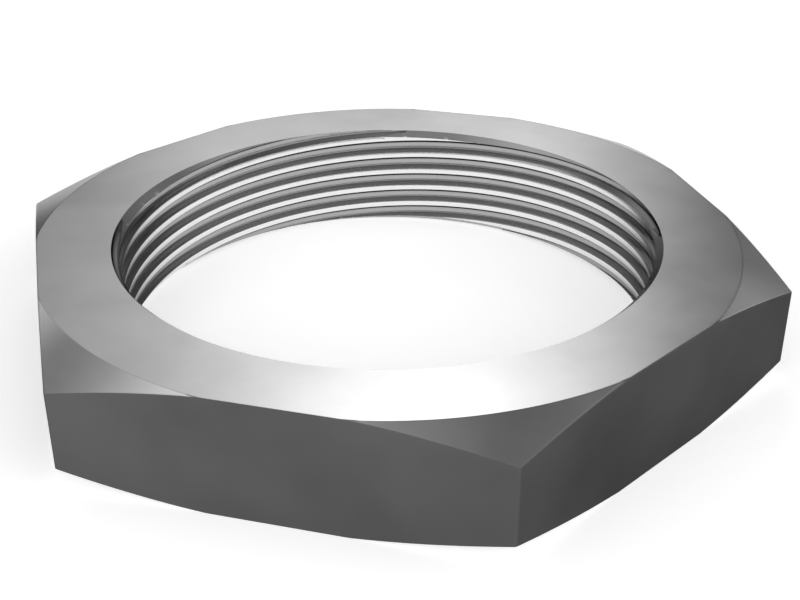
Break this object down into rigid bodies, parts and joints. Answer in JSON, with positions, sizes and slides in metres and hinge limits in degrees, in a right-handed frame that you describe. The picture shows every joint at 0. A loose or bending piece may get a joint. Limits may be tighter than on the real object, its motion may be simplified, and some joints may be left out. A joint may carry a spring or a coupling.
{
  "type": "hex lock nut",
  "caption": "Thin hexagonal lock nut with both faces chamfered at the corners and a wide threaded bore, used to lock a pipe fitting in place.",
  "frame": {"origin": "on the bore's axis, at the lower face", "axes": "+Z along the bore's axis, from the lower face to the upper one; two opposite corners of the hexagon lie on X and two opposite flats face +Y and -Y"},
  "size_m": [0.0866, 0.075, 0.0125],
  "materials": {
    "turned_steel": "turned faces and drawn flats, plain grey steel with a satin sheen"
  },
  "bodies": {
    "root": {"lock_nut": "turned_steel"}
  },
  "joints": []
}
